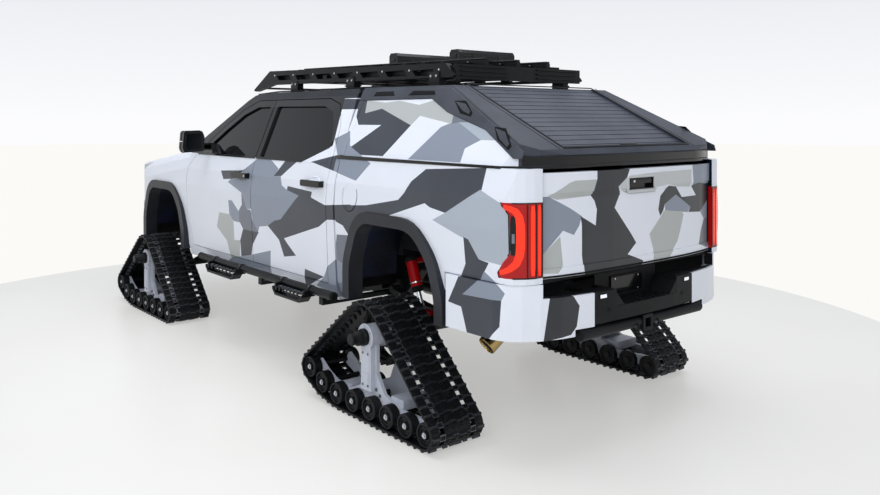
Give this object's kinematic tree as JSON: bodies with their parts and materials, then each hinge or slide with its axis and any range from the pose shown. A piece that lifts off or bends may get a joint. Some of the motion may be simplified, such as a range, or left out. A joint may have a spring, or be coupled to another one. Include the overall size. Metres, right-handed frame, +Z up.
{
  "type": "tracked pickup truck",
  "caption": "Crew-cab pickup truck with a sloping bed cap and a roof rack, carried on triangular rubber track units in place of its wheels.",
  "frame": {"origin": "on the floor, on the centre plane, halfway along the truck", "axes": "+X forward, +Y to the truck's left, +Z up"},
  "size_m": [5.932, 2.58, 2.356],
  "materials": {
    "frame_black": "satin black chassis paint",
    "cast_metal": "plain engine castings",
    "cabin_trim": "dark cabin carpet and wall trim",
    "camo_paint": "satin splinter camouflage wrap in white, light grey, blue-grey and charcoal",
    "roof_black": "satin dark roof",
    "tinted_glass": "dark tinted glass",
    "cabin_plastic": "dark grained cabin plastic",
    "seat_cloth": "dark seat cloth",
    "trim_black": "black grained plastic",
    "lamp_clear": "clear lamp cover over a dark housing",
    "bed_liner": "sprayed bed liner",
    "flare_black": "satin dark grey arch flare",
    "liner_black": "black arch liner",
    "lamp_red": "red lamp cover with a black inset",
    "cap_black": "satin dark grey cap frame",
    "cover_black": "dark slatted cover",
    "rack_black": "textured black rack",
    "carrier_black": "black ski carrier cases",
    "step_black": "textured black steel tube",
    "suspension_steel": "dark painted suspension parts",
    "shock_red": "red shock absorber bodies",
    "exhaust_steel": "exhaust steel with a gold tip",
    "mirror_black": "black mirror head",
    "track_rubber": "black track rubber with bright clips",
    "track_white": "white painted track frame",
    "wheel_black": "black track wheels with bright hub bolts"
  },
  "bodies": {
    "truck": {"chassis_frame": "frame_black", "engine_block": "cast_metal", "cab_tub": "cabin_trim", "cab_sides": "camo_paint", "cab_roof": "roof_black", "cab_glass": "tinted_glass", "dashboard": "cabin_plastic", "seats": "seat_cloth", "front_fenders": "camo_paint", "grille": "trim_black", "front_bumper": "trim_black", "headlamps": "lamp_clear", "bed_tub": "bed_liner", "bed_sides": "camo_paint", "fender_flares": "flare_black", "wheel_liners": "liner_black", "rear_bumper": "camo_paint", "bumper_step": "trim_black", "tow_hitch": "frame_black", "tail_lamps": "lamp_red", "cap_frame": "cap_black", "cap_sides": "camo_paint", "cap_roller_cover": "cover_black", "roof_rack": "rack_black", "ski_carriers": "carrier_black", "side_steps": "step_black", "front_suspension": "suspension_steel", "rear_axle": "suspension_steel", "shock_absorbers": "shock_red", "exhaust": "exhaust_steel"},
    "door_front_left": {"door_front_left": "camo_paint", "door_glass_front_left": "tinted_glass", "mirror_left": "mirror_black"},
    "door_front_right": {"door_front_right": "camo_paint", "door_glass_front_right": "tinted_glass", "mirror_right": "mirror_black"},
    "door_rear_left": {"door_rear_left": "camo_paint", "door_glass_rear_left": "tinted_glass"},
    "door_rear_right": {"door_rear_right": "camo_paint", "door_glass_rear_right": "tinted_glass"},
    "hood": {"hood": "camo_paint"},
    "tailgate": {"tailgate": "camo_paint"},
    "knuckle_left": {"knuckle_left": "suspension_steel"},
    "knuckle_right": {"knuckle_right": "suspension_steel"},
    "track_front_left": {"track_belt_front_left": "track_rubber", "track_frame_front_left": "track_white", "track_wheels_front_left": "wheel_black"},
    "track_front_right": {"track_belt_front_right": "track_rubber", "track_frame_front_right": "track_white", "track_wheels_front_right": "wheel_black"},
    "track_rear_left": {"track_belt_rear_left": "track_rubber", "track_frame_rear_left": "track_white", "track_wheels_rear_left": "wheel_black"},
    "track_rear_right": {"track_belt_rear_right": "track_rubber", "track_frame_rear_right": "track_white", "track_wheels_rear_right": "wheel_black"}
  },
  "joints": [
    {"name": "front_left_door_hinge", "type": "hinge", "parent": "truck", "child": "door_front_left", "pos_m": [1.397, 1.006, 1.2], "axis": [0, 0, -1], "range_deg": [0, 65]},
    {"name": "front_right_door_hinge", "type": "hinge", "parent": "truck", "child": "door_front_right", "pos_m": [1.397, -1.006, 1.2], "axis": [0, 0, 1], "range_deg": [0, 65]},
    {"name": "rear_left_door_hinge", "type": "hinge", "parent": "truck", "child": "door_rear_left", "pos_m": [0.121, 1.006, 1.2], "axis": [0, 0, -1], "range_deg": [0, 65]},
    {"name": "rear_right_door_hinge", "type": "hinge", "parent": "truck", "child": "door_rear_right", "pos_m": [0.121, -1.006, 1.2], "axis": [0, 0, 1], "range_deg": [0, 65]},
    {"name": "hood_hinge", "type": "hinge", "parent": "truck", "child": "hood", "pos_m": [1.409, 0, 1.63], "axis": [0, -1, 0], "range_deg": [0, 50]},
    {"name": "tailgate_hinge", "type": "hinge", "parent": "truck", "child": "tailgate", "pos_m": [-2.902, 0, 0.986], "axis": [0, -1, 0], "range_deg": [0, 88]},
    {"name": "steering_left", "type": "hinge", "parent": "truck", "child": "knuckle_left", "pos_m": [1.95, 0.715, 0.56], "axis": [0, 0, 1], "range_deg": [-20, 20]},
    {"name": "steering_right", "type": "hinge", "parent": "truck", "child": "knuckle_right", "pos_m": [1.95, -0.715, 0.56], "axis": [0, 0, 1], "range_deg": [-20, 20]},
    {"name": "track_pitch_front_left", "type": "hinge", "parent": "knuckle_left", "child": "track_front_left", "pos_m": [1.95, 1.018, 0.517], "axis": [0, 1, 0], "range_deg": [-10, 10]},
    {"name": "track_pitch_front_right", "type": "hinge", "parent": "knuckle_right", "child": "track_front_right", "pos_m": [1.95, -1.018, 0.517], "axis": [0, 1, 0], "range_deg": [-10, 10]},
    {"name": "track_pitch_rear_left", "type": "hinge", "parent": "truck", "child": "track_rear_left", "pos_m": [-1.75, 1.018, 0.517], "axis": [0, 1, 0], "range_deg": [-10, 10]},
    {"name": "track_pitch_rear_right", "type": "hinge", "parent": "truck", "child": "track_rear_right", "pos_m": [-1.75, -1.018, 0.517], "axis": [0, 1, 0], "range_deg": [-10, 10]}
  ],
  "couplings": [
    {"joint": "steering_right", "follows": "steering_left", "ratio": 1}
  ]
}
